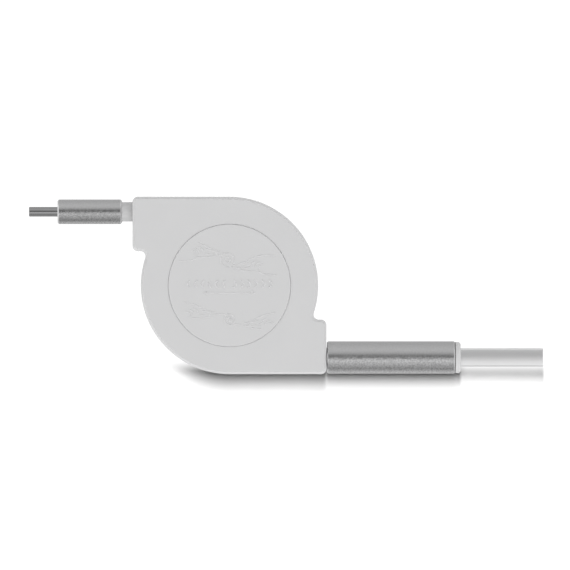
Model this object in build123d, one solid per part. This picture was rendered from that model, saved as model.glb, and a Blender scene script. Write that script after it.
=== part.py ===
from build123d import *
import os
from math import asin, degrees, sqrt

# A two-way retractable charging cable, wound in. Millimetres.
# The reel turns about Z, the case lies on its back at z = 0, the USB-A plug leaves
# towards +X along the -Y edge and the USB-C plug towards -X along the +Y edge.

os.makedirs("parts", exist_ok=True)

# Case
case_radius = 22.0
case_thickness = 16.0
tab_projection = 2.05
tab_depth = 13.5
tab_corner = 1.3
tab_root = 1.3
case_edge = 0.6
parting_bevel = 0.25
side_wall = 1.5
back_wall = 1.5
front_wall = 2.0
lip_width = 0.6
lip_height = 0.8
lip_gap = 0.08

# Disc let into the front cover
disc_radius = 15.2
disc_thickness = 1.1
disc_recess = 1.0
disc_edge = 0.15
disc_gap = 0.05

# Axle and the screw that holds the two covers together
axle_radius = 3.0
axle_proud = 0.2
screw_head_radius = 1.8
screw_head_height = 1.2
screw_head_gap = 0.1
screw_radius = 0.9
screw_length = 7.0
screw_gap = 0.05
boss_wall = 1.1

# Cable
cable_width = 5.0
cable_thickness = 1.0
cable_play = 0.3
cable_gap = 0.1
c_exit_inset = 3.7
a_exit_inset = 4.1

# Spool
hub_radius = 8.0
hub_wall = 1.2
flange_thickness = 1.0
flange_gap = 0.6
collar_height = 0.6
running_gap = 0.06
end_play = 0.3
thrust_radius = 10.0

# Mainspring, a few turns standing for many
spring_thickness = 0.2
spring_turns = 2
spring_gap = 0.15
spring_play = 0.2
hook_depth = 1.1
hook_slot = 0.5
hook_gap = 0.15

# Ratchet lugs on the spool and the pawl that catches them
lug_count = 6
lug_span = 20.0
lug_width = 2.0
lug_bite = 0.9
pawl_inset = 5.9
pawl_arm = 4.3
pawl_hub_radius = 2.0
pawl_tip_radius = 0.7
pawl_pin_radius = 1.0
pawl_swing = 45.0
pawl_play = 0.2

# Plug necks and the mouths that they enter
neck_inside = 3.0
mouth_gap = 0.25
fit = 0.05
sleeve_wall = 0.6
sleeve_edge = 0.3

# USB-C plug
c_neck_show = 2.75
c_sleeve_length = 15.9
c_sleeve_width = 10.6
c_sleeve_thickness = 6.1
c_front_wall = 0.8
c_shell_show = 7.1
c_shell_grip = 5.0
c_shell_width = 8.25
c_shell_thickness = 2.4
c_shell_wall = 0.25
c_mouth_edge = 0.12
c_insulator_recess = 0.4
c_slot_width = 6.8
c_slot_height = 1.0
c_slot_depth = 5.3
c_contact_count = 12
c_contact_pitch = 0.5
c_contact_width = 0.26
c_contact_thickness = 0.12
c_contact_length = 4.6
c_board_length = 5.0
c_board_width = 6.4
c_board_thickness = 0.8

# USB-A plug
a_sleeve_gap = 0.15
a_sleeve_length = 31.8
a_sleeve_width = 15.6
a_sleeve_thickness = 8.0
a_collar_length = 1.35
a_collar_step = 0.17
a_collar_edge = 0.4
a_shell_show = 20.5
a_shell_grip = 8.0
a_shell_width = 12.0
a_shell_thickness = 4.5
a_shell_crown = 0.25
a_shell_corner = 0.5
a_shell_wall = 0.3
a_mouth_edge = 0.12
a_window_length = 2.4
a_window_width = 2.2
a_window_spacing = 5.2
a_window_setback = 6.2
a_tongue_thickness = 1.84
a_tongue_setback = 0.9
a_tongue_edge = 0.4
a_cavity_depth = 11.8
a_contact_width = 1.0
a_contact_thickness = 0.15
a_contact_places = (-3.5, -1.0, 1.0, 3.5)
a_contact_setback = 0.7
a_contact_stagger = 1.0

# Heights, worked out from the middle plane where the covers part
mid = case_thickness / 2
chamber_low = mid - cable_width / 2 - cable_play
chamber_high = mid + cable_width / 2 + cable_play
flange_under = chamber_low - flange_thickness
flange_top = chamber_high + flange_thickness
spring_low = chamber_low + collar_height + spring_play
spring_high = chamber_high - spring_play
front_inner = case_thickness - front_wall
disc_floor = case_thickness - disc_recess
axle_top = flange_top + axle_proud
screw_seat = disc_floor - screw_head_height - screw_head_gap
pawl_low = flange_top + pawl_play
pawl_high = front_inner - pawl_play

# Places in plan
tab_reach = case_radius + tab_projection
c_line = case_radius - c_exit_inset
a_line = case_radius - a_exit_inset
flange_radius = case_radius - side_wall - flange_gap
winding_radius = min(c_line, a_line) - cable_thickness / 2 - cable_gap
chamber_radius = hub_radius - hub_wall
spring_start = axle_radius + spring_gap
spring_end = chamber_radius - spring_gap - spring_thickness
spring_pitch = (spring_end - spring_start) / spring_turns
pawl_pivot = flange_radius - pawl_inset
lug_outer = pawl_pivot - pawl_arm + lug_bite
boss_radius = screw_head_radius + screw_head_gap + boss_wall

# Sections that the necks, mouths and sleeves share
neck_width = c_sleeve_width - 2 * (sleeve_wall + fit)
neck_thickness = c_sleeve_thickness - 2 * (sleeve_wall + fit)
a_core_width = a_sleeve_width - 2 * (sleeve_wall + fit)
a_core_thickness = a_sleeve_thickness - 2 * (sleeve_wall + fit)

# Stations along each plug, outwards from the end of its tab
c_sleeve_end = c_neck_show + c_sleeve_length
c_shell_rear = c_sleeve_end - c_shell_grip
c_mouth = c_sleeve_end + c_shell_show
a_sleeve_end = a_sleeve_gap + a_sleeve_length
a_collar_end = a_sleeve_end + a_collar_length
a_shell_rear = a_collar_end - a_shell_grip
a_mouth = a_collar_end + a_shell_show

usb_c_place = Location((-tab_reach, c_line, mid), (0, 0, 180))
usb_a_place = Location((tab_reach, -a_line, mid))


def disc(radius, low, high):
    """A plain cylinder about the reel axis, between two heights."""
    return Pos(0, 0, low) * Cylinder(radius, high - low, align=(Align.CENTER, Align.CENTER, Align.MIN))


def ring(outer, inner, low, high):
    """A plain ring about the reel axis, between two heights."""
    return disc(outer, low, high) - disc(inner, low, high)


def upright(start):
    """A plane across a plug at a station, with the plug's width upright."""
    return Plane((start, 0, 0), x_dir=(0, 0, 1), z_dir=(1, 0, 0))


def bar(width, thickness, start, end):
    """A bar along X with fully round edges."""
    return extrude(upright(start) * SlotOverall(width, thickness), end - start)


def crowned_section(width, thickness):
    """A plug shell's section: flat wide sides and slightly crowned narrow ones."""
    half = thickness / 2
    flat = width / 2 - a_shell_crown
    narrow = ThreePointArc((flat, half), (width / 2, 0), (flat, -half))
    side = Curve() + [Line((-flat, half), (flat, half)), narrow]
    return make_face(side + Rot(0, 0, 180) * side)


def crowned_bar(width, thickness, start, end):
    """A crowned bar along X with sharp corners."""
    return extrude(upright(start) * crowned_section(width, thickness), end - start)


def folded_bar(width, thickness, start, end):
    """A crowned bar along X with the round corners of folded sheet."""
    section = crowned_section(width, thickness)
    section = fillet(section.vertices(), a_shell_corner)
    return extrude(upright(start) * section, end - start)


def block(start, end, width, thickness, across=0.0, up=0.0):
    """A square-edged block along X."""
    middle = Pos((start + end) / 2, across, up)
    return middle * Box(end - start, thickness, width)


def case_outline(inset=0.0):
    """The round case with its two tabs, moved inwards by the inset."""
    radius = case_radius - inset
    reach = tab_reach - inset
    shoulder = case_radius - tab_depth + inset
    meet = sqrt(radius**2 - shoulder**2)
    dip = degrees(asin(shoulder / radius))
    half = Curve() + [
        Line((0, radius), (-reach, radius)),
        Line((-reach, radius), (-reach, shoulder)),
        Line((-reach, shoulder), (-meet, shoulder)),
        CenterArc((0, 0), radius, 180 - dip, 90 + dip),
    ]
    return make_face(half + Rot(0, 0, 180) * half)


def rounded_outline():
    """The case outline with round tab corners and hollow roots."""
    outline = case_outline()
    corners = outline.vertices().filter_by(lambda v: abs(v.X) > case_radius)
    outline = fillet(corners, tab_corner)
    shoulder = case_radius - tab_depth
    meet = sqrt(case_radius**2 - shoulder**2)
    root = Vector(-meet, shoulder)
    near = outline.vertices().filter_by(
        lambda v: min((Vector(v) - root).length, (Vector(v) + root).length) < fit
    )
    return fillet(near, tab_root)


def outline_block(inset, low, high):
    """The case outline, moved inwards, as a block between two heights."""
    return extrude(Plane.XY.offset(low) * case_outline(inset), high - low)


def mouths():
    """The two openings in the tab ends, one for each plug's neck."""
    width = neck_width + 2 * mouth_gap
    thickness = neck_thickness + 2 * mouth_gap
    hole = bar(width, thickness, -neck_inside - mouth_gap, 0)
    return [place * hole for place in (usb_c_place, usb_a_place)]


def cover_blank():
    """The front cover's outer form, with its face edge bevelled."""
    blank = extrude(Plane.XY.offset(mid) * rounded_outline(), case_thickness - mid)
    return chamfer(blank.edges().group_by(Axis.Z)[-1], case_edge)


def front_cover():
    """Upper moulding: parting groove, disc recess, screw boss and the pin that the pawl swings on."""
    cover = cover_blank()
    cover = chamfer(cover.edges().group_by(Axis.Z)[0], parting_bevel)
    cover -= outline_block(side_wall, mid, front_inner)
    cover -= outline_block(side_wall - lip_width - lip_gap, mid, mid + lip_height + lip_gap)
    cover += disc(boss_radius, axle_top, front_inner)
    cover += Pos(pawl_pivot, 0, 0) * disc(pawl_pin_radius, pawl_low, front_inner)
    cover -= disc(disc_radius + disc_gap, disc_floor, case_thickness)
    cover -= disc(screw_head_radius + screw_head_gap, screw_seat, disc_floor)
    cover -= disc(screw_radius + screw_gap, axle_top, screw_seat)
    return cover - mouths()


def back_cover():
    """Lower moulding: axle with the spring slot, thrust pad and joining lip."""
    cover = mirror(cover_blank(), about=Plane.XY.offset(mid))
    cover -= outline_block(side_wall, back_wall, mid)
    cover += outline_block(side_wall - lip_width, mid, mid + lip_height) - outline_block(
        side_wall, mid, mid + lip_height
    )
    cover += disc(thrust_radius, back_wall, flange_under - end_play)
    cover += disc(axle_radius, back_wall, axle_top)
    cover -= disc(screw_radius + screw_gap, screw_seat - screw_length - screw_head_gap, axle_top)
    cover -= block(
        axle_radius - hook_depth - hook_gap,
        axle_radius + hook_gap,
        spring_high - spring_low + 2 * spring_play,
        hook_slot,
        up=(spring_low + spring_high) / 2,
    )
    return cover - mouths()


def face_disc():
    """Round insert in the front, a little proud, with a bevelled edge."""
    insert = disc(disc_radius, disc_floor, disc_floor + disc_thickness)
    return chamfer(insert.edges().group_by(Axis.Z)[-1], disc_edge)


def case_screw():
    """Plain cheese-head screw through the boss into the axle."""
    head = disc(screw_head_radius, screw_seat, screw_seat + screw_head_height)
    return head + disc(screw_radius, screw_seat - screw_length, screw_seat)


def spool():
    """Hub with the spring chamber, upper flange and the ratchet lugs on it."""
    wheel = disc(hub_radius, chamber_low, chamber_high)
    wheel += disc(flange_radius, chamber_high, flange_top)
    wheel -= disc(chamber_radius, chamber_low, chamber_high)
    for number in range(lug_count):
        middle = 360 / lug_count * (number + 0.5)
        sector = CenterArc((0, 0), lug_outer - lug_width / 2, middle - lug_span / 2, lug_span)
        lug = trace(sector, lug_width)
        wheel += extrude(Plane.XY.offset(flange_top) * lug, front_inner - end_play - flange_top)
    wheel -= disc(axle_radius + running_gap, chamber_low, flange_top)
    slot = block(
        chamber_radius - hook_gap,
        chamber_radius + hub_wall / 2,
        chamber_high - chamber_low,
        hook_slot,
        up=mid,
    )
    return wheel - slot


def spool_flange():
    """Lower flange, with a collar that seats in the hub and closes the spring chamber."""
    seat = chamber_radius - fit
    plate = disc(flange_radius, flange_under, chamber_low)
    plate += disc(seat, chamber_low, chamber_low + collar_height)
    return plate - disc(axle_radius + running_gap, flange_under, chamber_low + collar_height)


def mainspring():
    """Flat spiral strip of half turns, hooked into the axle and into the hub."""
    coils = Curve()
    for turn in range(spring_turns):
        radius = spring_start + spring_thickness / 2 + turn * spring_pitch
        coils += CenterArc((0, 0), radius, 0, 180)
        coils += CenterArc((spring_pitch / 2, 0), radius + spring_pitch / 2, 180, 180)
    height = spring_high - spring_low
    spring = extrude(Plane.XY.offset(spring_low) * trace(coils, spring_thickness), height)
    middle = (spring_low + spring_high) / 2
    inner_end = spring_start + spring_thickness
    spring += block(axle_radius - hook_depth, inner_end, height, spring_thickness, up=middle)
    outer_end = chamber_radius + hub_wall / 2 - hook_gap
    return spring + block(spring_end, outer_end, height, spring_thickness, up=middle)


def cable_winding():
    """Both cable halves wound together, as one plain roll on the hub."""
    return ring(winding_radius, hub_radius + fit, mid - cable_width / 2, mid + cable_width / 2)


def lock_pawl():
    """Lever on the front cover's pin, swung clear of the lugs."""
    eye = Circle(pawl_hub_radius)
    tip = Pos(-(pawl_arm - pawl_tip_radius), 0) * Circle(pawl_tip_radius)
    lever = make_hull((eye + tip).edges())
    lever -= Circle(pawl_pin_radius + running_gap)
    solid = extrude(Plane.XY.offset(pawl_low) * lever, pawl_high - pawl_low)
    return Pos(pawl_pivot, 0, 0) * Rot(0, 0, pawl_swing) * solid


def lead(start, end):
    """Flat cable between the winding and a plug's neck."""
    return block(start, end, cable_width, cable_thickness)


def sleeve(width, thickness, start, end):
    """Outer form of a metal sleeve, with bevelled ends."""
    tube = bar(width, thickness, start, end)
    ends = tube.edges().group_by(Axis.X)
    return chamfer(ends[0] + ends[-1], sleeve_edge)


def usb_c_shell():
    shell = bar(c_shell_width, c_shell_thickness, c_shell_rear, c_mouth)
    shell = chamfer(shell.edges().group_by(Axis.X)[-1], c_mouth_edge)
    hollow = 2 * c_shell_wall
    return shell - bar(c_shell_width - hollow, c_shell_thickness - hollow, c_shell_rear, c_mouth)


def usb_c_insulator():
    """Plastic lining of the shell, with the slot that the socket's tongue enters."""
    lining = 2 * (c_shell_wall + fit)
    front = c_mouth - c_insulator_recess
    filler = bar(c_shell_width - lining, c_shell_thickness - lining, c_shell_rear, front)
    return filler - block(front - c_slot_depth, front, c_slot_width, c_slot_height)


def usb_c_contacts():
    """Two facing rows of contact strips, on the slot's long walls."""
    back = c_mouth - c_insulator_recess - c_slot_depth
    row = c_slot_height / 2 - c_contact_thickness / 2
    strips = []
    for number in range(c_contact_count):
        up = (number - (c_contact_count - 1) / 2) * c_contact_pitch
        for across in (-row, row):
            strips.append(
                block(back, back + c_contact_length, c_contact_width, c_contact_thickness, across, up)
            )
    return Compound(children=strips)


def usb_c_board():
    return block(c_shell_rear - c_board_length, c_shell_rear, c_board_width, c_board_thickness)


def usb_c_body():
    """White inner moulding: core inside the sleeve and the neck that enters the case."""
    front = c_sleeve_end - c_front_wall - fit
    core = bar(neck_width, neck_thickness, -neck_inside, front)
    core -= bar(c_shell_width + 2 * fit, c_shell_thickness + 2 * fit, c_shell_rear, front)
    return core - block(
        c_shell_rear - c_board_length - fit,
        c_shell_rear,
        c_board_width + 2 * fit,
        c_board_thickness + 2 * fit,
    )


def usb_c_sleeve():
    """Drawn metal sleeve, closed in front around the shell."""
    tube = sleeve(c_sleeve_width, c_sleeve_thickness, c_neck_show, c_sleeve_end)
    hollow = 2 * sleeve_wall
    inside = c_sleeve_end - c_front_wall
    tube -= bar(c_sleeve_width - hollow, c_sleeve_thickness - hollow, c_neck_show, inside)
    return tube - bar(c_shell_width + 2 * fit, c_shell_thickness + 2 * fit, inside, c_sleeve_end)


def usb_a_shell():
    """Folded steel shell with two square windows in each wide side."""
    shell = folded_bar(a_shell_width, a_shell_thickness, a_shell_rear, a_mouth)
    shell = chamfer(shell.edges().group_by(Axis.X)[-1], a_mouth_edge)
    hollow = 2 * a_shell_wall
    shell -= crowned_bar(a_shell_width - hollow, a_shell_thickness - hollow, a_shell_rear, a_mouth)
    front = a_mouth - a_window_setback
    for up in (-a_window_spacing / 2, a_window_spacing / 2):
        shell -= block(front - a_window_length, front, a_window_width, a_shell_thickness, up=up)
    return shell


def usb_a_insulator():
    """Plastic block at the back of the shell, with the tongue that carries the contacts."""
    lining = 2 * (a_shell_wall + fit)
    inside = a_shell_thickness - lining
    tongue_end = a_mouth - a_tongue_setback
    filler = crowned_bar(a_shell_width - lining, inside, a_shell_rear, tongue_end)
    opening = inside - a_tongue_thickness
    cavity = block(
        a_mouth - a_cavity_depth, tongue_end, a_shell_width, opening, inside / 2 - opening / 2
    )
    filler -= cavity
    front = filler.edges().filter_by(Axis.Z).group_by(Axis.X)[-1]
    return chamfer(front.group_by(Axis.Y)[-1], a_tongue_edge)


def usb_a_contacts():
    """Four contact strips on the tongue, the inner two set further back."""
    inside = a_shell_thickness - 2 * (a_shell_wall + fit)
    across = a_tongue_thickness - inside / 2 + a_contact_thickness / 2
    outermost = max(a_contact_places)
    strips = []
    for up in a_contact_places:
        stagger = 0 if abs(up) == outermost else a_contact_stagger
        end = a_mouth - a_tongue_setback - a_contact_setback - stagger
        strips.append(
            block(a_mouth - a_cavity_depth, end, a_contact_width, a_contact_thickness, across, up)
        )
    return Compound(children=strips)


def usb_a_body():
    """White inner moulding: neck, core inside the sleeve and the collar in front of it."""
    core = bar(neck_width, neck_thickness, -neck_inside, a_sleeve_gap)
    core += bar(a_core_width, a_core_thickness, a_sleeve_gap, a_sleeve_end)
    step = 2 * a_collar_step
    collar = bar(a_sleeve_width - step, a_sleeve_thickness - step, a_sleeve_end, a_collar_end)
    core += chamfer(collar.edges().group_by(Axis.X)[-1], a_collar_edge)
    return core - folded_bar(
        a_shell_width + 2 * fit, a_shell_thickness + 2 * fit, a_shell_rear, a_collar_end
    )


def usb_a_sleeve():
    """Open metal sleeve, slid over the core up to the collar."""
    tube = sleeve(a_sleeve_width, a_sleeve_thickness, a_sleeve_gap, a_sleeve_end)
    hollow = 2 * sleeve_wall
    return tube - bar(a_sleeve_width - hollow, a_sleeve_thickness - hollow, a_sleeve_gap, a_sleeve_end)


usb_c_nodes = {
    "usb_c_shell": usb_c_shell(),
    "usb_c_insulator": usb_c_insulator(),
    "usb_c_contacts": usb_c_contacts(),
    "usb_c_board": usb_c_board(),
    "usb_c_body": usb_c_body(),
    "usb_c_sleeve": usb_c_sleeve(),
    "usb_c_lead": lead(-tab_reach, -neck_inside),
}
usb_a_nodes = {
    "usb_a_shell": usb_a_shell(),
    "usb_a_insulator": usb_a_insulator(),
    "usb_a_contacts": usb_a_contacts(),
    "usb_a_body": usb_a_body(),
    "usb_a_sleeve": usb_a_sleeve(),
    "usb_a_lead": lead(-tab_reach, -neck_inside),
}
nodes = {
    "front_cover": front_cover(),
    "back_cover": back_cover(),
    "face_disc": face_disc(),
    "case_screw": case_screw(),
    "spool": spool(),
    "spool_flange": spool_flange(),
    "mainspring": mainspring(),
    "cable_winding": cable_winding(),
    "lock_pawl": lock_pawl(),
}
nodes |= {name: usb_c_place * shape for name, shape in usb_c_nodes.items()}
nodes |= {name: usb_a_place * shape for name, shape in usb_a_nodes.items()}

for name, shape in nodes.items():
    export_step(shape, f"parts/{name}.step")
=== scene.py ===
"""Finishes and studio stage for a two-way retractable charging cable, laid out as an add-on."""
from math import atan, cos, hypot, pi, sin

import bpy
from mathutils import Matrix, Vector


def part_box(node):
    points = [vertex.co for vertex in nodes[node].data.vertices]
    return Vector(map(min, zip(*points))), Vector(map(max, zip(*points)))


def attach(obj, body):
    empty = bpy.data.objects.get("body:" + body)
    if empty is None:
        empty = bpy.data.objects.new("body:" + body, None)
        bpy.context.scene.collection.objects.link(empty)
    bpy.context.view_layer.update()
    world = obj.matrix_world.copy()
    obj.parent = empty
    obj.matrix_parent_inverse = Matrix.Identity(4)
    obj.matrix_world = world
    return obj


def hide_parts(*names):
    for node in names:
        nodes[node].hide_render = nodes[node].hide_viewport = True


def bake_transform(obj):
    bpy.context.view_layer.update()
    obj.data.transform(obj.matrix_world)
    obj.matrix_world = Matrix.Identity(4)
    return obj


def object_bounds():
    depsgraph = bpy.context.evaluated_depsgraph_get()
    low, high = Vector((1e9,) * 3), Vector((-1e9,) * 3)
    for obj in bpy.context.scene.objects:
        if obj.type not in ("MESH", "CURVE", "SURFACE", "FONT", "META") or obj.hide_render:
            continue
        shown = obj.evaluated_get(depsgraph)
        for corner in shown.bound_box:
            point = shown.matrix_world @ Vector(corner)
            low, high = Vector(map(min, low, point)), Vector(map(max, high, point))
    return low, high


bl_info = {
    "name": "Retractable charging cable",
    "version": (1, 0, 0),
    "blender": (4, 5, 0),
    "location": "3D View > Sidebar > Cable",
    "description": "Finishes the pieces of a retractable charging cable and sets its studio stage",
    "category": "Object",
}

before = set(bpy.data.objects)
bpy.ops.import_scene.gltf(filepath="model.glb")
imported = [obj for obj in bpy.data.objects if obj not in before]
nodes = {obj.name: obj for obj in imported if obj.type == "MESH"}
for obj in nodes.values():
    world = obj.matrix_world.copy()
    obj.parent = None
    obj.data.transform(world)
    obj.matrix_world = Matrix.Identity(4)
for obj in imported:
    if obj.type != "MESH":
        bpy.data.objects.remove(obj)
cad_low, cad_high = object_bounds()
MM = 0.001


# Settings that a user would change


def length(name, description, millimetres):
    """A length setting, given in millimetres and kept in metres."""
    return bpy.props.FloatProperty(
        name=name, description=description, default=millimetres * MM, unit="LENGTH", precision=6
    )


def share(name, description, default):
    """A setting between nothing and all."""
    return bpy.props.FloatProperty(
        name=name, description=description, default=default, min=0.0, max=1.0, subtype="FACTOR"
    )


def colour(name, description, default):
    """A linear colour setting."""
    return bpy.props.FloatVectorProperty(
        name=name, description=description, default=default, size=3, min=0.0, max=1.0, subtype="COLOR"
    )


def count(name, description, default, least):
    """A setting in whole numbers."""
    return bpy.props.IntProperty(name=name, description=description, default=default, min=least)


def power(name, description, watts):
    """A lamp's power setting."""
    return bpy.props.FloatProperty(name=name, description=description, default=watts, unit="POWER")


class CaseSettings(bpy.types.PropertyGroup):
    """Finish of the moulded case and of the signs raised on its disc."""

    plastic: colour("Plastic", "Colour of the satin case moulding", (0.6, 0.6, 0.604))
    roughness: share("Roughness", "Mean roughness of the case moulding", 0.45)
    texture_size: length("Texture size", "Width of one grain of the moulded texture", 0.22)
    texture_depth: length("Texture depth", "Depth of the moulded texture", 0.002)
    stroke_width: length("Stroke width", "Width of a raised line on the disc", 0.34)
    stroke_height: length("Stroke height", "Height of a raised line of the signs", 0.055)
    sign_reach: length("Sign reach", "Radius of the disc that the signs keep within", 14.2)
    chevron_count: count("Chevrons", "Chevrons on each side of the disc's middle", 6, least=1)
    chevron_pitch: length("Chevron pitch", "Distance from one chevron to the next", 1.75)
    chevron_size: length("Chevron size", "Half the length of one chevron across the row", 0.9)
    chevron_height: length("Chevron height", "Height of a chevron's raised line", 0.14)
    chevron_line: length("Chevron line", "Place of the row of chevrons across the disc", 0.4)


class PlugSettings(bpy.types.PropertyGroup):
    """Finish of the sleeves, shells and mouldings of the plugs."""

    aluminium: colour("Aluminium", "Colour of the blasted sleeves", (0.64, 0.64, 0.644))
    blast_size: length("Blast size", "Width of one dimple of the blasted sleeves", 0.42)
    blast_depth: length("Blast depth", "Depth of one dimple of the blasted sleeves", 0.018)
    # Painted shade: the share of the aluminium tone that is left on each sleeve's -Y side
    lower_side_shade_a: share("USB-A blast tone", "Brightness that the blast leaves on the USB-A sleeve", 1.0)
    lower_side_shade_c: share("USB-C blast tone", "Brightness that the blast leaves on the USB-C sleeve", 0.88)
    blast_roughness_a: share("USB-A blast roughness", "Roughness of the blasted USB-A sleeve", 0.31)
    blast_roughness_c: share("USB-C blast roughness", "Roughness of the blasted USB-C sleeve", 0.285)
    nickel: colour("Nickel", "Colour of the USB-A shell's plating", (0.95, 0.95, 0.954))
    steel: colour("Steel", "Colour of the USB-C shell", (0.43, 0.43, 0.434))
    gold: colour("Gold", "Colour of the plated contacts", (0.83, 0.6, 0.25))
    rubbed_gold: colour("Rubbed gold", "Colour of the contacts where they are rubbed", (0.86, 0.74, 0.5))
    lacquer: colour("Lacquer", "Colour of the board between its tracks", (0.015, 0.09, 0.035))
    track: colour("Track", "Colour of the board over its tracks", (0.05, 0.19, 0.06))
    insulator: colour("Insulator", "Colour of the insulators", (0.022, 0.022, 0.024))
    collar: colour("Collar", "Colour of the USB-A moulding with the collar", (0.61, 0.61, 0.614))
    # Painted shade: the neck is the collar's white moulding, given a darker tone
    neck: colour("Neck", "Colour of the USB-C moulding with the neck", (0.54, 0.54, 0.544))


class ReelSettings(bpy.types.PropertyGroup):
    """Sizes and finish of the cable and of the reel inside the case."""

    jacket: colour("Jacket", "Colour of the cable's soft jacket", (0.66, 0.66, 0.66))
    lead_steps: count("Lead steps", "Lengthwise steps of a lead that pays out", 48, least=2)
    turn_steps: count("Turn steps", "Steps of one turn of the winding", 72, least=12)
    turn_gap: length("Turn gap", "Play between one turn of the winding and the next", 0.04)
    spool: colour("Spool", "Colour of the spool and its flange", (0.52, 0.51, 0.48))
    pawl: colour("Pawl", "Colour of the lock pawl", (0.03, 0.03, 0.032))
    spring: colour("Spring", "Colour of the blued mainspring", (0.2, 0.23, 0.3))
    screw: colour("Screw", "Colour of the case screw's plating", (0.55, 0.56, 0.58))


class StageSettings(bpy.types.PropertyGroup):
    """Camera, lights and floor."""

    camera_height: length("Camera height", "Height of the camera over the plugs", 3000.0)
    picture_span: length("Picture span", "Width that the picture takes in", 141.7)
    aim: bpy.props.FloatVectorProperty(
        name="Aim", description="Point under the picture's middle", unit="LENGTH",
        default=(13.77 * MM, 0.11 * MM, 8.0 * MM),
    )
    softbox_power: power("Softbox", "Power of the wide softbox on the part", 37.5)
    panel_power: power("Panels", "Power of a low panel beside the part", 6.0)
    back_panel: share("Back panel", "Share of a panel's power that the one behind the part has", 0.75)
    floor_power: power("Floor light", "Power of the narrow lamp on the floor", 350.0)
    shell_gap: length("Shell gap", "Distance by which the USB-A shell's shadow starts further out", 0.9)
    shadow_fade: length("Shadow fade", "Width over which the shadow ends behind the front edge", 3.5)
    glow: bpy.props.FloatProperty(
        name="Glow", description="Brightness of the floor where it takes no shadow", default=1.09, min=0.0
    )
    ambient: share("Ambient", "Light that reaches every side", 0.03)
    floor_tone: share("Floor", "Tone of the floor", 0.5)


# Shader and geometry trees


class Signal:
    """A shader socket that can stand in a Python expression."""

    def __init__(self, shader, socket):
        self.shader = shader
        self.socket = socket

    def math(self, operation, *values):
        """What a new Math node makes of the values."""
        return self.shader.node("ShaderNodeMath", {"operation": operation}, dict(enumerate(values)))

    def __add__(self, other):
        return self.math("ADD", self, other)

    def __sub__(self, other):
        return self.math("SUBTRACT", self, other)

    def __rsub__(self, other):
        return self.math("SUBTRACT", other, self)

    def __mul__(self, other):
        return self.math("MULTIPLY", self, other)

    __radd__ = __add__
    __rmul__ = __mul__

    def least(self, other):
        return self.math("MINIMUM", self, other)

    def most(self, other):
        return self.math("MAXIMUM", self, other)

    def size(self):
        return self.math("ABSOLUTE", self)

    def rise(self, low, high):
        """0 below the low value, 1 above the high one, smooth in between."""
        return self.shader.node(
            "ShaderNodeMapRange",
            {"interpolation_type": "SMOOTHSTEP"},
            {"Value": self, "From Min": low, "From Max": high},
        )

    def around(self, middle, spread):
        """A signal from 0 to 1, moved and scaled to lie round a middle value."""
        return (self - 0.5) * spread + middle


class Shader:
    """A shader tree that nodes are added to by type, settings and sockets."""

    def __init__(self, tree):
        self.tree = tree

    def feed(self, entry, value):
        """Links a signal to a socket, or sets the socket's own value."""
        if isinstance(value, Signal):
            self.tree.links.new(value.socket, entry)
        else:
            entry.default_value = value

    def node(self, kind, settings=None, sockets=None, output=0):
        """The output of a new node, as a signal."""
        node = self.tree.nodes.new(kind)
        for name, value in (settings or {}).items():
            if name == "stops":
                set_stops(node.color_ramp, value)
            else:
                setattr(node, name, value)
        for name, value in (sockets or {}).items():
            self.feed(node.inputs[name], value)
        return Signal(self, node.outputs[output])

    def split(self, vector, axis):
        """One part of a vector."""
        return self.node("ShaderNodeSeparateXYZ", sockets={"Vector": vector}, output=axis)


def set_stops(ramp, stops):
    """Gives a colour ramp grey stops at the places named."""
    while len(ramp.elements) < len(stops):
        ramp.elements.new(1.0)
    for element, (place, tone) in zip(ramp.elements, stops):
        element.position = place
        element.color = (tone, tone, tone, 1.0)


class Finish(Shader):
    """A material with one Principled shader, on Object coordinates."""

    def __init__(self, name, constants=None):
        self.material = bpy.data.materials.new(name)
        self.material.use_nodes = True
        super().__init__(self.material.node_tree)
        self.principled = self.tree.nodes["Principled BSDF"]
        self.set(constants or {})
        self.place = self.node("ShaderNodeTexCoord", output="Object")

    def set(self, values):
        """Feeds the Principled shader's sockets."""
        for name, value in values.items():
            self.feed(self.principled.inputs[name], value)

    def axis(self, name):
        return self.split(self.place, name)

    def noise(self, size, detail=2.0):
        """Noise in grains of one width, or of a width along each axis."""
        widths = size if isinstance(size, tuple) else (size,) * 3
        counts = tuple(1.0 / width for width in widths)
        grains = self.node("ShaderNodeMapping", sockets={"Vector": self.place, "Scale": counts})
        return self.node("ShaderNodeTexNoise", sockets={"Vector": grains, "Scale": 1.0, "Detail": detail})

    def mix(self, factor, first, second):
        """A colour between two. The Mix node's colour sockets are known by their numbers."""
        sockets = {0: factor, 6: opaque(first), 7: opaque(second)}
        return self.node("ShaderNodeMix", {"data_type": "RGBA"}, sockets, output=2)

    def vary(self, factor, tone, darkest, lightest):
        """A colour between two shades of one tone."""
        return self.mix(factor, shade(tone, darkest), shade(tone, lightest))

    def bump(self, height, depth):
        """Raises the surface where the height is near 1."""
        sockets = {"Height": height, "Strength": 1.0, "Distance": depth}
        self.set({"Normal": self.node("ShaderNodeBump", sockets=sockets)})


def opaque(tone):
    """A colour with its alpha, from three numbers; a signal stays as it is."""
    return tone if isinstance(tone, Signal) else (*tone, 1.0)


def shade(tone, factor):
    """A colour made darker or lighter."""
    return tuple(min(1.0, channel * factor) for channel in tone)


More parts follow.
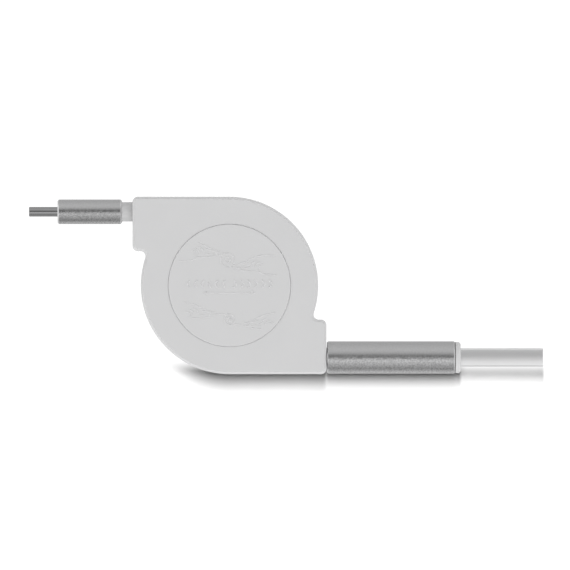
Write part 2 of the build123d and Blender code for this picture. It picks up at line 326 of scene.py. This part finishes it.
class Graph:
    """A Geometry Nodes tree with named inputs, which ends in a realized mesh of one material."""

    def __init__(self, name):
        self.tree = bpy.data.node_groups.new(name, "GeometryNodeTree")
        self.entry = self.tree.nodes.new("NodeGroupInput")
        self.tree.interface.new_socket("Geometry", in_out="OUTPUT", socket_type="NodeSocketGeometry")

    def input(self, name, kind):
        """A new named input of the tree."""
        self.tree.interface.new_socket(name, in_out="INPUT", socket_type=f"NodeSocket{kind}")
        return self.entry.outputs[name]

    def node(self, kind, settings=None, sockets=None, output=0):
        """The output of a new node; a list feeds a socket that takes several links."""
        node = self.tree.nodes.new(kind)
        for name, value in (settings or {}).items():
            setattr(node, name, value)
        for name, value in (sockets or {}).items():
            for part in value if isinstance(value, list) else [value]:
                if isinstance(part, bpy.types.NodeSocket):
                    self.tree.links.new(part, node.inputs[name])
                else:
                    node.inputs[name].default_value = part
        return node.outputs[output]

    def times(self, first, second):
        return self.node("ShaderNodeMath", {"operation": "MULTIPLY"}, {0: first, 1: second})

    def vector(self, **parts):
        """A vector from the parts X, Y and Z that are given."""
        return self.node("ShaderNodeCombineXYZ", sockets=parts)

    def transform(self, geometry, **change):
        """Geometry with a Translation, Rotation or Scale."""
        return self.node("GeometryNodeTransform", sockets={"Geometry": geometry, **change})

    def with_half_turn(self, geometry):
        """Geometry, and a copy of it half a turn round the reel's axis."""
        turned = self.transform(geometry, Rotation=(0.0, 0.0, pi))
        return self.node("GeometryNodeJoinGeometry", sockets={"Geometry": [geometry, turned]})

    def flat_profile(self):
        """A flat cable's section, as wide and thick as the inputs say, with fully round edges."""
        width = self.input("Width", "Float")
        thickness = self.input("Thickness", "Float")
        sides = {"Width": thickness, "Height": width}
        outline = self.node("GeometryNodeCurvePrimitiveQuadrilateral", sockets=sides)
        # Just under half the thickness, so that no two points of the section meet
        radius = self.times(thickness, 0.49)
        rounding = {"Curve": outline, "Radius": radius, "Count": 5}
        return self.node("GeometryNodeFilletCurve", {"mode": "POLY"}, rounding)

    def sweep(self, curve, profile):
        """A closed smooth mesh along a curve whose sections stand upright."""
        upright = self.node("GeometryNodeSetCurveNormal", {"mode": "Z_UP"}, {"Curve": curve})
        sockets = {"Curve": upright, "Profile Curve": profile, "Fill Caps": True}
        return self.node("GeometryNodeCurveToMesh", sockets=sockets)

    def end(self, geometry):
        """Ends the tree in a realized mesh of the material that the last input names."""
        realized = self.node("GeometryNodeRealizeInstances", sockets={"Geometry": geometry})
        material = self.input("Material", "Material")
        sockets = {"Geometry": realized, "Material": material}
        painted = self.node("GeometryNodeSetMaterial", sockets=sockets)
        leave = self.tree.nodes.new("NodeGroupOutput")
        self.tree.links.new(painted, leave.inputs["Geometry"])

    def bake(self, name, values, curves=None):
        """A new piece whose plain mesh is what the tree makes of its inputs' values and of any curves."""
        maker = bpy.data.objects.new(f"{name}_maker", curves or bpy.data.meshes.new(f"{name}_maker"))
        bpy.context.scene.collection.objects.link(maker)
        modifier = maker.modifiers.new(self.tree.name, "NODES")
        modifier.node_group = self.tree
        for item in self.tree.interface.items_tree:
            if item.in_out == "INPUT" and item.name in values:
                modifier[item.identifier] = values[item.name]
        depsgraph = bpy.context.evaluated_depsgraph_get()
        mesh = bpy.data.meshes.new_from_object(maker.evaluated_get(depsgraph), depsgraph=depsgraph)
        bpy.data.objects.remove(maker)
        if not mesh.polygons:
            raise RuntimeError(f"{name} came out empty")
        mesh.name = name
        piece = bpy.data.objects.new(name, mesh)
        bpy.context.scene.collection.objects.link(piece)
        return piece


def paint(material, *names):
    """Gives CAD nodes a finished material."""
    for name in names:
        if name not in nodes:
            raise RuntimeError(f"the frame has no node named {name}")
        nodes[name].material_slots[0].material = material


# Finishes


def moulded_plastic(name, tone, roughness, texture_size, texture_depth, joint=None):
    """Spark-textured moulding with a faint mottle and uneven gloss, and painted shade of the gap as a dark
    line at any joint.
    """
    finish = Finish(name, {"IOR": 1.46})
    mottle = finish.noise(size=9 * MM, detail=3.0)
    grain = finish.noise(texture_size, detail=3.0)
    base = finish.vary(mottle, tone, darkest=0.975, lightest=1.02)
    # Painted shade: a dark line where the gap at the joint lies
    if joint is not None:
        away_from_gap = (finish.axis("X") - joint).size().rise(low=0.1 * MM, high=0.2 * MM)
        gap_shade = shade(tone, 0.3)
        base = finish.mix(away_from_gap, gap_shade, base)
    finish.set({"Base Color": base, "Roughness": grain.around(roughness, spread=0.25)})
    finish.bump(grain, texture_depth)
    return finish.material


def blasted_aluminium(name, node, plugs, shaded_side_tone, roughness):
    """Bead-blasted sleeve whose bevelled ends stay bright. Its -Y side gets a darker tone (painted shade),
    and the grain's light and dark specks show fully only there (painted sparkle); its +Y side keeps the
    plain tone, with the grain's specks and bump mostly taken away.
    """
    low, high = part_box(node)
    bevel_roughness = 0.14
    # Share of the grain, in colour specks and bump, taken off the sleeve's +Y side
    upper_side_grain_cut = 0.8
    bevel_tone = shade(plugs.aluminium, 1.3)
    finish = Finish(name, {"Metallic": 1.0})
    along = finish.axis("X")
    blasted = (along - low.x).least(high.x - along).rise(low=0.25 * MM, high=0.4 * MM)
    # Painted light: 1 on the sleeve's +Y side and 0 on its -Y side, which alone gets the painted shade and
    # the full grain specks
    rubbed_and_unshaded_side = (finish.axis("Y") - (low.y + high.y) / 2).rise(low=-0.4 * MM, high=1.2 * MM)
    dimples = finish.noise(plugs.blast_size).rise(low=0.32, high=0.68) - 0.5
    grain = dimples * (1 - rubbed_and_unshaded_side * upper_side_grain_cut)
    pits = finish.mix(rubbed_and_unshaded_side, shade(shaded_side_tone, 0.82), shade(plugs.aluminium, 0.83))
    peaks = finish.mix(rubbed_and_unshaded_side, shade(shaded_side_tone, 1.18), shade(plugs.aluminium, 1.19))
    tone = finish.mix(grain + 0.5, pits, peaks)
    finish.set(
        {
            "Base Color": finish.mix(blasted, bevel_tone, tone),
            "Roughness": bevel_roughness + blasted * (roughness - bevel_roughness + grain * 0.03),
        }
    )
    finish.bump(grain * blasted, plugs.blast_depth)
    return finish.material


# Widths of one rolling line along each axis, on sheet metal that is rolled along the plug
ROLLED_ALONG = (8 * MM, 0.15 * MM, 0.15 * MM)
CLOUD_SIZE = 2.5 * MM


def rolled_metal(name, tone, roughness, streak=ROLLED_ALONG, contrast=0.06):
    """Smooth sheet metal with a faint cloud of tone and rolling lines."""
    finish = Finish(name, {"Metallic": 1.0})
    lines = finish.noise(streak, detail=3.0)
    cloud = finish.noise(CLOUD_SIZE)
    finish.set(
        {
            "Base Color": finish.vary(cloud, tone, darkest=1 - contrast, lightest=1 + contrast),
            "Roughness": lines.around(roughness, spread=0.15),
        }
    )
    finish.bump(lines, depth=0.0006 * MM)
    return finish.material


def satin_nickel(name, tone, node):
    """Pale satin plating on the folded shell, whose edges meet in a seam along one wide side."""
    low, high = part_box(node)
    middle = (low + high) / 2
    finish = Finish(name, {"Metallic": 0.85})
    off_line = (finish.axis("Z") - middle.z).size().rise(low=0.03 * MM, high=0.07 * MM)
    other_side = (finish.axis("Y") - low.y).rise(low=0.6 * MM, high=0.7 * MM)
    plain = off_line.most(other_side)
    lines = finish.noise(ROLLED_ALONG, detail=3.0)
    cloud = finish.noise(CLOUD_SIZE)
    plating = finish.vary(cloud, tone, darkest=0.99, lightest=1.01)
    seam = shade(tone, 0.3)
    finish.set(
        {
            "Base Color": finish.mix(plain, seam, plating),
            "Roughness": lines.around(0.33, spread=0.08),
        }
    )
    finish.bump(plain + lines * 0.02, depth=0.03 * MM)
    return finish.material


def gold_plating(name, tone, rubbed_tone):
    """Gold strips, rubbed paler in lengthwise patches."""
    finish = Finish(name, {"Metallic": 1.0})
    rubbed_and_unshaded_side = finish.noise((3 * MM, 0.2 * MM, 0.2 * MM)).rise(low=0.52, high=0.75)
    finish.set(
        {
            "Base Color": finish.mix(rubbed_and_unshaded_side, tone, rubbed_tone),
            "Roughness": 0.22 + rubbed_and_unshaded_side * 0.15,
        }
    )
    finish.bump(rubbed_and_unshaded_side, depth=0.001 * MM)
    return finish.material


def circuit_laminate(name, lacquer, track):
    """Green lacquer over copper tracks that run along the plug."""
    half_pitch = 0.25 * MM
    finish = Finish(name)
    across = finish.axis("Z")
    raised = across.math("PINGPONG", across, half_pitch).rise(low=0.1 * MM, high=0.13 * MM)
    speckle = finish.noise(size=0.1 * MM)
    finish.set(
        {
            "Base Color": finish.mix(raised, lacquer, track),
            "Roughness": 0.3 + speckle * 0.15,
        }
    )
    finish.bump(raised, depth=0.02 * MM)
    return finish.material


def soft_jacket(name, tone):
    """Matt elastomer with faint lengthwise extrusion lines and dust."""
    finish = Finish(name, {"IOR": 1.45})
    lines = finish.noise((12 * MM, 12 * MM, 0.12 * MM))
    dust = finish.noise(size=0.3 * MM, detail=4.0)
    finish.set(
        {
            "Base Color": finish.vary(dust, tone, darkest=0.95, lightest=1.03),
            "Roughness": lines.around(0.6, spread=0.2),
        }
    )
    finish.bump(lines + dust * 0.5, depth=0.004 * MM)
    return finish.material


# Pieces


class CABLE_OT_finish_case(bpy.types.Operator):
    """Give both covers and the disc their satin moulded finish"""

    bl_idname = "cable.finish_case"
    bl_label = "Finish the case"

    def execute(self, context):
        case = context.scene.cable_case
        moulding = (case.plastic, case.roughness, case.texture_size, case.texture_depth)
        paint(moulded_plastic("case_plastic_satin", *moulding), "front_cover", "back_cover")
        paint(moulded_plastic("disc_plastic_satin", *moulding), "face_disc")
        return {"FINISHED"}


# The signs are drawn in millimetres. One hand comes in from -X and pinches a plug that ends at the origin.
HAND = (
    # Back of the hand and forefinger
    (
        (-9.0, 2.7), (-6.5, 3.0), (-4.3, 2.6), (-2.4, 1.75), (-0.9, 1.0), (0.2, 0.65), (0.3, 0.4),
        (-1.3, 0.75), (-2.4, 1.0),
    ),
    # Thumb
    (
        (-4.6, -0.9), (-3.0, -1.1), (-1.4, -0.95), (-0.1, -0.7), (0.3, -0.45), (-1.2, -0.35),
        (-2.5, -0.1), (-3.1, 0.3),
    ),
    # Wrist
    ((-9.2, -2.0), (-7.0, -1.9), (-5.4, -1.7), (-4.6, -0.9)),
    # Three bent fingers
    ((-4.4, 1.6), (-3.5, 1.25), (-3.1, 0.9), (-3.1, 0.3)),
    ((-5.3, 1.2), (-4.4, 0.9), (-4.0, 0.5), (-4.05, -0.1)),
    ((-6.1, 0.7), (-5.3, 0.45), (-4.9, 0.05), (-5.0, -0.6)),
)
PLUG_LENGTH = 1.5
PLUG_HALF = 0.42
PLUG = (
    (0.0, PLUG_HALF),
    (PLUG_LENGTH, PLUG_HALF),
    (PLUG_LENGTH, 0.0),
    (PLUG_LENGTH, -PLUG_HALF),
    (0.0, -PLUG_HALF),
)
# Middle of each sign's reel, its radius, and how far its plugs are drawn out
PULL_SIGNS = ((-0.5, 6.3, 1.7, 0.4), (0.0, -8.4, 1.3, 2.6))
ARROW_LINE = -1.8
ARROW_REACH = 6.5
ARROW_HEAD = 1.0


def circle(x, y, radius, steps=24):
    """A closed ring of points."""
    turns = [2 * pi * step / steps for step in range(steps + 1)]
    return [(x + radius * cos(turn), y + radius * sin(turn)) for turn in turns]


def pull_sign(x, y, radius, stretch):
    """Strokes of one sign: two hands that draw both plugs out of a small reel."""
    hub = radius * 0.4
    wound_in = radius * 0.6
    strokes = [circle(x, y, radius), circle(x, y, hub)]
    for side in (-1, 1):
        line = y - side * radius
        plug = x + side * (wound_in + stretch)
        tip = plug + side * PLUG_LENGTH
        strokes.append([(x, line), ((x + plug) / 2, line), (plug, line)])
        strokes.append([(plug + side * across, line + up) for across, up in PLUG])
        for stroke in HAND:
            strokes.append([(tip - side * across, line + up) for across, up in stroke])
    return strokes


def arrow():
    """Strokes of a double-headed arrow under the row of chevrons."""
    strokes = [[(-ARROW_REACH, ARROW_LINE), (0.0, ARROW_LINE), (ARROW_REACH, ARROW_LINE)]]
    for side in (-1, 1):
        tip = side * ARROW_REACH
        back = side * (ARROW_REACH - ARROW_HEAD)
        spread = ARROW_HEAD / 2
        strokes.append([(back, ARROW_LINE + spread), (tip, ARROW_LINE), (back, ARROW_LINE - spread)])
    return strokes


class CABLE_OT_emboss_disc(bpy.types.Operator):
    """Raise two pull signs, an arrow and a row of chevrons on the disc"""

    bl_idname = "cable.emboss_disc"
    bl_label = "Emboss the disc"

    def execute(self, context):
        case = context.scene.cable_case
        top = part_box("face_disc")[1].z
        material = nodes["face_disc"].material_slots[0].material
        sizes = {
            "Stroke Width": case.stroke_width,
            "Stroke Height": case.stroke_height,
            "Material": material,
        }
        signs = self.stroke_graph().bake("disc_signs", sizes, self.sign_curves(top, case.sign_reach))
        row = {
            "Stroke Height": case.chevron_height,
            "Count": case.chevron_count,
            "Pitch": case.chevron_pitch,
            "Size": case.chevron_size,
            "Place": (0.0, case.chevron_line, top),
        }
        chevrons = self.chevron_graph().bake("disc_chevrons", sizes | row)
        for piece in (signs, chevrons):
            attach(piece, "case")
        return {"FINISHED"}

    def sign_curves(self, top, reach):
        """The lines of both signs and the arrow as curves on the disc's face."""
        curves = bpy.data.curves.new("disc_signs", "CURVE")
        curves.dimensions = "3D"
        strokes = [stroke for sign in PULL_SIGNS for stroke in pull_sign(*sign)]
        for stroke in strokes + arrow():
            inside = [point for point in stroke if hypot(*point) * MM < reach]
            if len(inside) < 3:
                continue
            spline = curves.splines.new("NURBS")
            spline.points.add(len(inside) - 1)
            for point, (x, y) in zip(spline.points, inside):
                point.co = (x * MM, y * MM, top, 1.0)
            spline.order_u = 3
            spline.use_endpoint_u = True
            spline.resolution_u = 6
        return curves

    def stroke_profile(self, graph):
        """A low oval section, half of it sunk into the disc."""
        width = graph.input("Stroke Width", "Float")
        height = graph.input("Stroke Height", "Float")
        ring = graph.node("GeometryNodeCurvePrimitiveCircle", sockets={"Resolution": 10, "Radius": 1.0})
        return graph.transform(ring, Scale=graph.vector(X=graph.times(width, 0.5), Y=height, Z=1.0))

    def stroke_graph(self):
        """Raised lines along the curves of the signs."""
        graph = Graph("raised_strokes")
        strokes = graph.input("Strokes", "Geometry")
        graph.end(graph.sweep(strokes, self.stroke_profile(graph)))
        return graph

    def chevron_graph(self):
        """A row of chevrons that point outwards, on both sides of the middle."""
        graph = Graph("chevron_row")
        profile = self.stroke_profile(graph)
        pitch = graph.input("Pitch", "Float")
        size = graph.input("Size", "Float")
        back = graph.times(size, -0.6)
        tip = graph.times(size, 0.8)
        first = graph.times(pitch, 0.9)
        bend = {
            "Start": graph.vector(X=back, Y=size),
            "Middle": graph.vector(X=tip),
            "End": graph.vector(X=back, Y=graph.times(size, -1.0)),
            "Resolution": 8,
        }
        chevron = graph.sweep(graph.node("GeometryNodeCurveQuadraticBezier", sockets=bend), profile)
        places = {
            "Count": graph.input("Count", "Int"),
            "Start Location": graph.vector(X=first),
            "Offset": graph.vector(X=pitch),
        }
        line = graph.node("GeometryNodeMeshLine", sockets=places)
        right = graph.node("GeometryNodeInstanceOnPoints", sockets={"Points": line, "Instance": chevron})
        both = graph.with_half_turn(right)
        graph.end(graph.transform(both, Translation=graph.input("Place", "Vector")))
        return graph


class CABLE_OT_finish_sleeves(bpy.types.Operator):
    """Give both plugs' sleeves their bead-blasted finish"""

    bl_idname = "cable.finish_sleeves"
    bl_label = "Finish the sleeves"

    def execute(self, context):
        plugs = context.scene.cable_plugs
        sleeves = {
            "usb_c_sleeve": (plugs.lower_side_shade_c, plugs.blast_roughness_c),
            "usb_a_sleeve": (plugs.lower_side_shade_a, plugs.blast_roughness_a),
        }
        for node, (tone, roughness) in sleeves.items():
            # Painted shade: the darker tone of the sleeve's -Y side
            shaded_side_tone = shade(plugs.aluminium, tone)
            paint(blasted_aluminium(f"{node}_blasted", node, plugs, shaded_side_tone, roughness), node)
        return {"FINISHED"}


class CABLE_OT_finish_plugs(bpy.types.Operator):
    """Finish the shells, contacts, board, insulators and white mouldings of both plugs"""

    bl_idname = "cable.finish_plugs"
    bl_label = "Finish the plugs"

    def execute(self, context):
        plugs = context.scene.cable_plugs
        paint(satin_nickel("usb_a_nickel", plugs.nickel, "usb_a_shell"), "usb_a_shell")
        paint(rolled_metal("usb_c_steel_rolled", plugs.steel, roughness=0.2), "usb_c_shell")
        gold = gold_plating("contact_gold", plugs.gold, plugs.rubbed_gold)
        paint(gold, "usb_a_contacts", "usb_c_contacts")
        paint(circuit_laminate("board_lacquer", plugs.lacquer, plugs.track), "usb_c_board")
        fine = {"roughness": 0.5, "texture_size": 0.15 * MM, "texture_depth": 0.004 * MM}
        black = moulded_plastic("insulator_black", plugs.insulator, **fine)
        paint(black, "usb_a_insulator", "usb_c_insulator")
        smooth = {"roughness": 0.38, "texture_size": 0.3 * MM, "texture_depth": 0.001 * MM}
        sleeve_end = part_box("usb_a_sleeve")[1].x
        # The collar gets painted shade of the gap where it meets the sleeve's end
        paint(moulded_plastic("plug_collar", plugs.collar, **smooth, joint=sleeve_end), "usb_a_body")
        # The neck's darker tone is painted shade
        paint(moulded_plastic("plug_neck", plugs.neck, **smooth), "usb_c_body")
        return {"FINISHED"}


class CABLE_OT_lay_leads(bpy.types.Operator):
    """Make the two flat leads, as straight cables in the places of the frame's leads"""

    bl_idname = "cable.lay_leads"
    bl_label = "Lay the leads"

    def execute(self, context):
        reel = context.scene.cable_reel
        jacket = soft_jacket("cable_jacket_soft", reel.jacket)
        graph = self.lead_graph()
        for plug, side in (("usb_c", -1), ("usb_a", 1)):
            low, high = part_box(f"{plug}_lead")
            middle = (low + high) / 2
            inner, outer = (high.x, low.x) if side < 0 else (low.x, high.x)
            start = Vector((inner, middle.y, middle.z))
            end = Vector((outer, middle.y, middle.z))
            values = {
                "Start": start,
                "End": end,
                "Width": high.z - low.z,
                "Thickness": high.y - low.y,
                "Steps": reel.lead_steps,
                "Material": jacket,
            }
            lead = graph.bake(f"{plug}_cable", values)
            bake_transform(lead)
            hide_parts(f"{plug}_lead")
        return {"FINISHED"}

    def lead_graph(self):
        """A straight flat cable in even steps."""
        graph = Graph("flat_lead")
        ends = {"Start": graph.input("Start", "Vector"), "End": graph.input("End", "Vector")}
        line = graph.node("GeometryNodeCurvePrimitiveLine", sockets=ends)
        stepped = {"Curve": line, "Count": graph.input("Steps", "Int")}
        path = graph.node("GeometryNodeResampleCurve", sockets=stepped)
        graph.end(graph.sweep(path, graph.flat_profile()))
        return graph


class CABLE_OT_wind_cable(bpy.types.Operator):
    """Wind both cable halves together on the hub, as two flat spirals that end under the leads"""

    bl_idname = "cable.wind_cable"
    bl_label = "Wind the cable"

    def execute(self, context):
        reel = context.scene.cable_reel
        low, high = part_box("cable_winding")
        lead_low, lead_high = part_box("usb_a_lead")
        hub = min(hypot(point.co.x, point.co.y) for point in nodes["cable_winding"].data.vertices)
        thickness = lead_high.y - lead_low.y
        pitch = 2 * (thickness + reel.turn_gap)
        inside = hub + thickness / 2
        outside = high.x - thickness / 2
        turns = (outside - inside) / pitch
        values = {
            "Inner Radius": inside,
            "Outer Radius": outside,
            "Turns": turns,
            "Start Angle": pi / 2 - 2 * pi * turns,
            "Steps": reel.turn_steps,
            "Width": high.z - low.z,
            "Thickness": thickness,
            "Level": (low.z + high.z) / 2,
            "Material": bpy.data.materials["cable_jacket_soft"],
        }
        winding = self.winding_graph().bake("cable_turns", values)
        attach(winding, "reel")
        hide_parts("cable_winding")
        return {"FINISHED"}

    def winding_graph(self):
        """Two flat spirals of cable, half a turn apart."""
        graph = Graph("double_winding")
        sizes = {
            "Rotations": graph.input("Turns", "Float"),
            "Start Radius": graph.input("Inner Radius", "Float"),
            "End Radius": graph.input("Outer Radius", "Float"),
            "Resolution": graph.input("Steps", "Int"),
            "Height": 0.0,
            "Reverse": True,
        }
        spiral = graph.node("GeometryNodeCurveSpiral", sockets=sizes)
        both = graph.with_half_turn(graph.sweep(spiral, graph.flat_profile()))
        level = graph.vector(Z=graph.input("Level", "Float"))
        angles = graph.vector(Z=graph.input("Start Angle", "Float"))
        turned = graph.node("FunctionNodeEulerToRotation", sockets={"Euler": angles})
        graph.end(graph.transform(both, Translation=level, Rotation=turned))
        return graph


class CABLE_OT_finish_reel(bpy.types.Operator):
    """Finish the spool, mainspring, pawl and screw inside the case"""

    bl_idname = "cable.finish_reel"
    bl_label = "Finish the reel"

    def execute(self, context):
        reel = context.scene.cable_reel
        coarse = {"roughness": 0.5, "texture_size": 0.4 * MM, "texture_depth": 0.003 * MM}
        paint(moulded_plastic("reel_natural", reel.spool, **coarse), "spool", "spool_flange")
        slick = {"roughness": 0.38, "texture_size": 0.3 * MM, "texture_depth": 0.002 * MM}
        paint(moulded_plastic("pawl_black", reel.pawl, **slick), "lock_pawl")
        strip = {"roughness": 0.3, "streak": (0.2 * MM, 0.2 * MM, 3 * MM), "contrast": 0.25}
        paint(rolled_metal("spring_blued", reel.spring, **strip), "mainspring")
        plating = {"roughness": 0.35, "streak": (0.4 * MM, 0.4 * MM, 0.4 * MM), "contrast": 0.1}
        paint(rolled_metal("screw_zinc", reel.screw, **plating), "case_screw")
        return {"FINISHED"}


BLACK = (0.0, 0.0, 0.0)
WHITE = (1.0, 1.0, 1.0)


class CABLE_OT_set_stage(bpy.types.Operator):
    """Set the floor, the lights and the camera straight above"""

    bl_idname = "cable.set_stage"
    bl_label = "Set the stage"

    def execute(self, context):
        stage = context.scene.cable_stage
        floor = self.floor(stage)
        self.lights(stage, floor)
        self.studio(stage)
        self.camera(stage)
        context.scene.view_settings.view_transform = "Standard"
        return {"FINISHED"}

    def floor(self, stage):
        """A wide sheet just under the part, which reflections don't show."""
        reach = 12.0
        gap = 0.02 * MM
        corners = [(-reach, -reach, 0), (reach, -reach, 0), (reach, reach, 0), (-reach, reach, 0)]
        mesh = bpy.data.meshes.new("floor")
        mesh.from_pydata(corners, [], [(0, 1, 2, 3)])
        mesh.materials.append(self.paper(stage))
        floor = bpy.data.objects.new("floor", mesh)
        floor.location.z = cad_low.z - gap
        floor.visible_glossy = False
        bpy.context.scene.collection.objects.link(floor)
        return floor

    def paper(self, stage):
        """Pale paper that glows behind the part's front edge, so shadow shows only in front of it."""
        constants = {"Roughness": 0.9, "Specular IOR Level": 0.0, "Emission Strength": stage.glow}
        finish = Finish("floor_paper", constants)
        sleeve_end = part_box("usb_a_sleeve")[1].x
        beside_shell = finish.axis("X").rise(sleeve_end, sleeve_end + stage.shadow_fade)
        edge = cad_low.y - beside_shell * stage.shell_gap
        glow = finish.axis("Y").rise(edge, edge + stage.shadow_fade)
        tone = (stage.floor_tone,) * 3
        finish.set(
            {
                "Base Color": finish.mix(glow, tone, BLACK),
                "Emission Color": finish.mix(glow, BLACK, WHITE),
            }
        )
        return finish.material

    def lights(self, stage, floor):
        """A softbox and four low panels for the part alone, and a narrow lamp for the floor alone."""
        panel = (1.2, 0.3)
        part_lamps = (
            ("softbox", stage.softbox_power, (0.0, -0.25, 1.3), (3.2, 3.0)),
            ("front_panel", stage.panel_power, (0.0, -1.5, 0.2), panel),
            ("back_panel", stage.panel_power * stage.back_panel, (0.0, 1.5, 0.2), panel),
            ("left_panel", stage.panel_power, (-1.5, 0.0, 0.2), panel),
            ("right_panel", stage.panel_power, (1.5, 0.0, 0.2), panel),
        )
        aim = Vector(stage.aim)
        for name, watts, place, size in part_lamps:
            linking = self.lamp(aim, name, watts, place, size).light_linking
            linking.receiver_collection = self.linked(f"{name}_floor", [floor], "EXCLUDE")
        floor_lamp = self.lamp(aim, "floor_lamp", stage.floor_power, (-0.03, 0.66, 4.0), (0.16, 1.45))
        linking = floor_lamp.light_linking
        linking.receiver_collection = self.linked("floor_lamp_floor", [floor], "INCLUDE")
        usb_c_plug = [node for name, node in nodes.items() if name.startswith("usb_c")]
        linking.blocker_collection = self.linked("floor_lamp_shadowless", usb_c_plug, "EXCLUDE")

    def lamp(self, aim, name, watts, place, size):
        """A soft oval lamp that points at the aim, with its place measured from the floor under it."""
        light = bpy.data.lights.new(name, "AREA")
        light.shape = "ELLIPSE"
        light.size, light.size_y = size
        light.energy = watts
        lamp = bpy.data.objects.new(name, light)
        lamp.location = Vector((aim.x, aim.y, 0.0)) + Vector(place)
        lamp.rotation_euler = (aim - lamp.location).to_track_quat("-Z", "Y").to_euler()
        lamp.visible_glossy = False
        lamp.visible_camera = False
        bpy.context.scene.collection.objects.link(lamp)
        return lamp

    def linked(self, name, objects, state):
        """A collection for light linking, whose objects are all taken in or all left out."""
        group = bpy.data.collections.new(name)
        for item in objects:
            group.objects.link(item)
        for entry in group.collection_objects:
            entry.light_linking.link_state = state
        return group

    def studio(self, stage):
        """Grey room for reflections, in bands by the angle from overhead to the front, with pale ends."""
        bands = (
            (-180, 0.55), (-110, 0.55), (-60, 0.67), (-40, 0.64), (-24, 0.44), (-12, 0.14), (-2, 0.14),
            (8, 0.6), (20, 0.95), (30, 0.8), (44, 0.57), (62, 0.53), (76, 0.4), (86, 0.26),
            (97, 0.4), (110, 0.58), (122, 0.68), (180, 0.66),
        )
        end_tone = 0.85
        world = bpy.data.worlds.new("studio")
        world.use_nodes = True
        bpy.context.scene.world = world
        room = Shader(world.node_tree)
        direction = room.node("ShaderNodeTexCoord", output="Generated")
        across = room.split(direction, "Y")
        up = room.split(direction, "Z")
        turn = up.math("ARCTAN2", 0 - across, up)
        stops = [(angle / 360 + 0.5, tone) for angle, tone in bands]
        tones = room.node("ShaderNodeValToRGB", {"stops": stops}, {"Fac": turn * (0.5 / pi) + 0.5})
        ends = room.split(direction, "X").size().rise(low=0.7, high=0.92)
        tones = tones * (1 - ends) + ends * end_tone
        glossy = room.node("ShaderNodeLightPath", output="Is Glossy Ray")
        seen = room.node("ShaderNodeLightPath", output="Is Camera Ray")
        background = world.node_tree.nodes["Background"].inputs
        room.feed(background["Color"], opaque(WHITE))
        room.feed(background["Strength"], seen + glossy * tones + (1 - seen - glossy) * stage.ambient)

    def camera(self, stage):
        """A camera straight above the aim, so far up that perspective hardly shows."""
        view = bpy.data.cameras.new("overhead")
        view.angle = 2 * atan(stage.picture_span / 2 / stage.camera_height)
        view.clip_end = 100.0
        camera = bpy.data.objects.new("overhead", view)
        camera.location = Vector(stage.aim) + Vector((0.0, 0.0, stage.camera_height))
        bpy.context.scene.collection.objects.link(camera)
        bpy.context.scene.camera = camera


class CABLE_PT_build(bpy.types.Panel):
    """Lists the steps and settings in the sidebar"""

    bl_idname = "CABLE_PT_build"
    bl_label = "Retractable cable"
    bl_space_type = "VIEW_3D"
    bl_region_type = "UI"
    bl_category = "Cable"

    def draw(self, context):
        for operator in OPERATORS:
            self.layout.operator(operator.bl_idname)
        for name in SETTINGS:
            box = self.layout.box()
            group = getattr(context.scene, name)
            for field in group.__annotations__:
                box.prop(group, field)


OPERATORS = (
    CABLE_OT_finish_case,
    CABLE_OT_emboss_disc,
    CABLE_OT_finish_sleeves,
    CABLE_OT_finish_plugs,
    CABLE_OT_lay_leads,
    CABLE_OT_wind_cable,
    CABLE_OT_finish_reel,
    CABLE_OT_set_stage,
)
SETTINGS = {
    "cable_case": CaseSettings,
    "cable_plugs": PlugSettings,
    "cable_reel": ReelSettings,
    "cable_stage": StageSettings,
}


def register():
    for group in SETTINGS.values():
        bpy.utils.register_class(group)
    for name, group in SETTINGS.items():
        setattr(bpy.types.Scene, name, bpy.props.PointerProperty(type=group))
    for operator in OPERATORS:
        bpy.utils.register_class(operator)
    bpy.utils.register_class(CABLE_PT_build)


def unregister():
    bpy.utils.unregister_class(CABLE_PT_build)
    for operator in reversed(OPERATORS):
        bpy.utils.unregister_class(operator)
    for name, group in SETTINGS.items():
        delattr(bpy.types.Scene, name)
        bpy.utils.unregister_class(group)


def main():
    """Runs the steps in order."""
    register()
    bpy.ops.cable.finish_case()
    bpy.ops.cable.emboss_disc()
    bpy.ops.cable.finish_sleeves()
    bpy.ops.cable.finish_plugs()
    bpy.ops.cable.lay_leads()
    bpy.ops.cable.wind_cable()
    bpy.ops.cable.finish_reel()
    bpy.ops.cable.set_stage()


if __name__ == "__main__":
    main()
